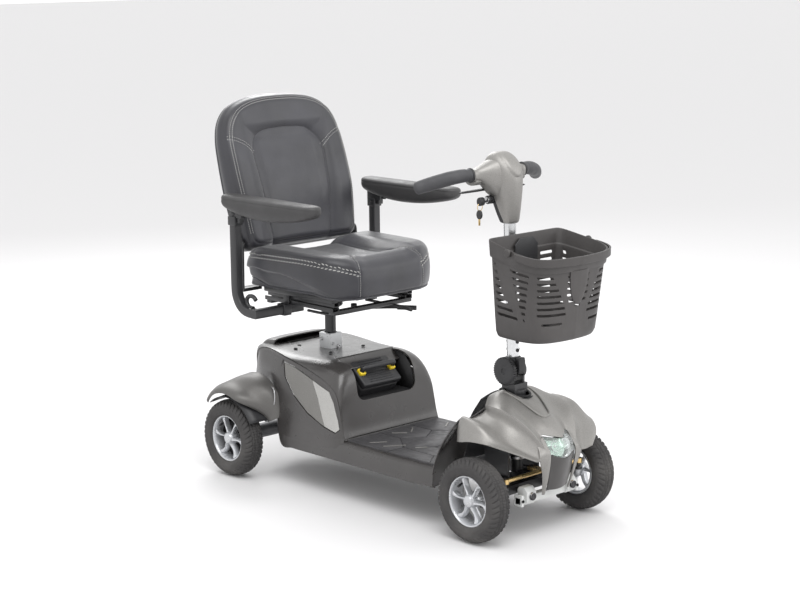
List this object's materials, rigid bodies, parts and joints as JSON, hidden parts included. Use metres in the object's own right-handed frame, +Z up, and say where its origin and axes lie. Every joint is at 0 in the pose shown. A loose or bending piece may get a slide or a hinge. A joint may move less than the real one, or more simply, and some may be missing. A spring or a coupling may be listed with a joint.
{
  "type": "mobility scooter",
  "caption": "Four-wheeled electric mobility scooter with a swivel seat, lifting armrests, tilting tiller, front basket and lift-out battery.",
  "frame": {"origin": "on the ground under the middle of the overall box", "axes": "+X forward, +Y to the rider's left, +Z up"},
  "size_m": [1.176, 0.5878, 1.0592],
  "materials": {
    "frame_steel": "black satin powder coat",
    "silver_paint": "silver painted steel",
    "bare_steel": "turned steel",
    "cast_alloy": "cast, painted dark grey",
    "brass_rod": "yellow zinc plated rod",
    "black_plastic": "fine grained moulding",
    "satin_black_cover": "satin painted moulding",
    "grey_cover": "warm grey metallic paint on a moulding",
    "floor_rubber": "grooved mat",
    "tyre_rubber": "moulded tread",
    "silver_rim": "silver paint on a spoked moulding",
    "lamp_glass": "clear moulded lens",
    "bumper_paint": "light grey paint",
    "tiller_silver": "satin anodised tube",
    "grip_rubber": "soft touch grip",
    "horn_amber": "button",
    "basket_plastic": "fine grained moulding",
    "vinyl": "grained vinyl",
    "arm_pad": "soft skinned foam"
  },
  "bodies": {
    "chassis": {"main_frame": "frame_steel", "drive_unit": "cast_alloy", "controller_box": "cast_alloy", "wiring_loom": "black_plastic", "battery_bay": "black_plastic", "body_cover": "satin_black_cover", "side_panel_left": "grey_cover", "side_panel_right": "grey_cover", "rear_fender_left": "grey_cover", "rear_fender_right": "grey_cover", "deck_tray": "black_plastic", "deck_mat": "floor_rubber", "front_shroud": "grey_cover", "wheel_arch_liner": "black_plastic", "headlamp_lens": "lamp_glass", "nose_panel": "black_plastic", "front_bumper": "bumper_paint", "seat_socket": "silver_paint", "head_bearings": "bare_steel", "frame_bolts": "bare_steel"},
    "freewheel": {"freewheel_lever": "bare_steel"},
    "steering": {"steering_stem": "frame_steel"},
    "tie_rod": {"tie_rod": "brass_rod"},
    "tiller": {"tiller_post": "tiller_silver", "basket_bracket": "black_plastic", "head_cover": "grey_cover", "head_housing": "black_plastic", "handlebar": "frame_steel", "grip_left": "grip_rubber", "grip_right": "grip_rubber"},
    "tilt_knob": {"tilt_knob": "black_plastic"},
    "throttle": {"throttle_paddle": "black_plastic"},
    "speed_dial": {"speed_dial": "black_plastic"},
    "horn": {"horn_button": "horn_amber"},
    "key": {"ignition_key": "bare_steel"},
    "basket": {"basket": "basket_plastic"},
    "basket_handle": {"basket_handle": "basket_plastic"},
    "seat_post": {"seat_post": "frame_steel"},
    "swivel": {"swivel_base": "frame_steel"},
    "swivel_lever": {"swivel_lever": "frame_steel"},
    "seat": {"seat_pan": "frame_steel", "seat_cushion": "vinyl"},
    "slide_lever": {"slide_lever": "frame_steel"},
    "backrest": {"back_frame": "frame_steel", "back_cushion": "vinyl"},
    "battery": {"battery_case": "black_plastic"},
    "rear_wheel_left": {"rear_rim_left": "silver_rim", "rear_tyre_left": "tyre_rubber"},
    "front_wheel_left": {"front_rim_left": "silver_rim", "front_tyre_left": "tyre_rubber"},
    "knuckle_left": {"knuckle_left": "frame_steel"},
    "arm_left": {"arm_post_left": "frame_steel"},
    "armrest_left": {"armrest_left": "arm_pad"},
    "rear_wheel_right": {"rear_rim_right": "silver_rim", "rear_tyre_right": "tyre_rubber"},
    "front_wheel_right": {"front_rim_right": "silver_rim", "front_tyre_right": "tyre_rubber"},
    "knuckle_right": {"knuckle_right": "frame_steel"},
    "arm_right": {"arm_post_right": "frame_steel"},
    "armrest_right": {"armrest_right": "arm_pad"}
  },
  "joints": [
    {"name": "rear_wheel_left_spin", "type": "hinge", "parent": "chassis", "child": "rear_wheel_left", "pos_m": [-0.478, 0.248, 0.11], "axis": [0, 1, 0], "continuous": true},
    {"name": "front_wheel_left_spin", "type": "hinge", "parent": "knuckle_left", "child": "front_wheel_left", "pos_m": [0.438, 0.201, 0.11], "axis": [0, 1, 0], "continuous": true},
    {"name": "steer_left", "type": "hinge", "parent": "chassis", "child": "knuckle_left", "pos_m": [0.438, 0.14, 0.11], "axis": [0, 0, 1], "range_deg": [-32, 32]},
    {"name": "rear_wheel_right_spin", "type": "hinge", "parent": "chassis", "child": "rear_wheel_right", "pos_m": [-0.478, -0.248, 0.11], "axis": [0, 1, 0], "continuous": true},
    {"name": "front_wheel_right_spin", "type": "hinge", "parent": "knuckle_right", "child": "front_wheel_right", "pos_m": [0.438, -0.201, 0.11], "axis": [0, 1, 0], "continuous": true},
    {"name": "steer_right", "type": "hinge", "parent": "chassis", "child": "knuckle_right", "pos_m": [0.438, -0.14, 0.11], "axis": [0, 0, 1], "range_deg": [-32, 32]},
    {"name": "steering", "type": "hinge", "parent": "chassis", "child": "steering", "pos_m": [0.4, 0, 0.25], "axis": [0, 0, 1], "range_deg": [-32, 32]},
    {"name": "tie_rod_pivot", "type": "hinge", "parent": "knuckle_left", "child": "tie_rod", "pos_m": [0.49, 0.14, 0.156], "axis": [0, 0, 1], "range_deg": [-32, 32]},
    {"name": "tiller_tilt", "type": "hinge", "parent": "steering", "child": "tiller", "pos_m": [0.386, 0, 0.407], "axis": [0, 1, 0], "range_deg": [-20, 4]},
    {"name": "tilt_knob_turn", "type": "hinge", "parent": "steering", "child": "tilt_knob", "pos_m": [0.386, -0.03, 0.407], "axis": [0, 1, 0], "range_deg": [0, 180]},
    {"name": "throttle_press", "type": "hinge", "parent": "tiller", "child": "throttle", "pos_m": [0.318, 0, 0.875], "axis": [0, 0, 1], "range_deg": [-12, 12], "stiffness_Nm_per_rad": 1},
    {"name": "speed_dial_turn", "type": "hinge", "parent": "tiller", "child": "speed_dial", "pos_m": [0.322, 0, 0.948], "axis": [-0.4695, 0, 0.8829], "range_deg": [-135, 135]},
    {"name": "horn_press", "type": "slide", "parent": "tiller", "child": "horn", "axis": [0.4695, 0, -0.8829], "range_m": [0, 0.002], "stiffness_N_per_m": 400},
    {"name": "key_turn", "type": "hinge", "parent": "tiller", "child": "key", "pos_m": [0.338, -0.056, 0.846], "axis": [0, -1, 0], "range_deg": [0, 90]},
    {"name": "basket_lift", "type": "slide", "parent": "tiller", "child": "basket", "axis": [0, 0, 1], "range_m": [0, 0.24]},
    {"name": "basket_handle_lift", "type": "hinge", "parent": "basket", "child": "basket_handle", "pos_m": [0.507, 0, 0.738], "axis": [0, -1, 0], "range_deg": [0, 95]},
    {"name": "seat_height", "type": "slide", "parent": "chassis", "child": "seat_post", "axis": [0, 0, 1], "range_m": [-0.03, 0.06]},
    {"name": "seat_swivel", "type": "hinge", "parent": "seat_post", "child": "swivel", "pos_m": [-0.332, 0, 0.475], "axis": [0, 0, 1], "continuous": true},
    {"name": "swivel_release", "type": "hinge", "parent": "swivel", "child": "swivel_lever", "pos_m": [-0.286, 0.05, 0.475], "axis": [0, 0, 1], "range_deg": [-12, 0], "stiffness_Nm_per_rad": 1},
    {"name": "seat_slide", "type": "slide", "parent": "swivel", "child": "seat", "axis": [1, 0, 0], "range_m": [-0.045, 0.045]},
    {"name": "slide_release", "type": "hinge", "parent": "seat", "child": "slide_lever", "pos_m": [-0.3, 0.112, 0.484], "axis": [0, -1, 0], "range_deg": [0, 4], "stiffness_Nm_per_rad": 1},
    {"name": "backrest_fold", "type": "hinge", "parent": "seat", "child": "backrest", "pos_m": [-0.47, 0, 0.664], "axis": [0, 1, 0], "range_deg": [0, 95]},
    {"name": "arm_width_left", "type": "slide", "parent": "seat", "child": "arm_left", "axis": [0, 1, 0], "range_m": [0, 0.05]},
    {"name": "armrest_lift_left", "type": "hinge", "parent": "arm_left", "child": "armrest_left", "pos_m": [-0.425, 0.262, 0.752], "axis": [0, -1, 0], "range_deg": [0, 95]},
    {"name": "arm_width_right", "type": "slide", "parent": "seat", "child": "arm_right", "axis": [0, -1, 0], "range_m": [0, 0.05]},
    {"name": "armrest_lift_right", "type": "hinge", "parent": "arm_right", "child": "armrest_right", "pos_m": [-0.425, -0.262, 0.752], "axis": [0, -1, 0], "range_deg": [0, 95]},
    {"name": "battery_lift", "type": "slide", "parent": "chassis", "child": "battery", "axis": [0.6428, 0, 0.766], "range_m": [0, 0.22]},
    {"name": "freewheel_turn", "type": "hinge", "parent": "chassis", "child": "freewheel", "pos_m": [-0.416, -0.176, 0.162], "axis": [0, 1, 0], "range_deg": [-60, 0]}
  ],
  "couplings": [
    {"joint": "steer_left", "follows": "steering", "ratio": 1},
    {"joint": "steer_right", "follows": "steering", "ratio": 1},
    {"joint": "tie_rod_pivot", "follows": "steering", "ratio": -1}
  ]
}
